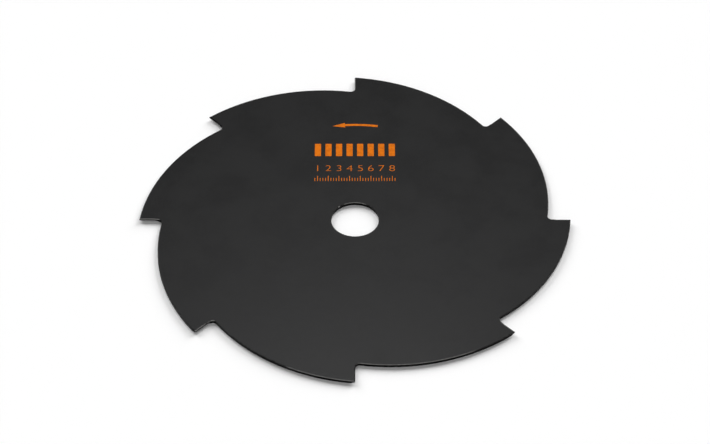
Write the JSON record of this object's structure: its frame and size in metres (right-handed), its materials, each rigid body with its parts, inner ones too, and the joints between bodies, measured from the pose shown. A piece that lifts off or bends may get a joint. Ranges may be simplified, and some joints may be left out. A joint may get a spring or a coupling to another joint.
{
  "type": "brush cutter blade",
  "caption": "Flat steel disc blade with sawtooth cutting teeth and a round centre bore, for a brush cutter's angle drive.",
  "frame": {"origin": "on the bore's axis, at the flat underside", "axes": "+Z along the bore's axis, out of the printed side; +X through one tooth tip; the teeth face counter-clockwise seen from +Z"},
  "size_m": [0.23, 0.23, 0.002],
  "materials": {
    "coated_steel": "thin black satin coating over hardened sheet steel"
  },
  "bodies": {
    "root": {"blade": "coated_steel"}
  },
  "joints": []
}
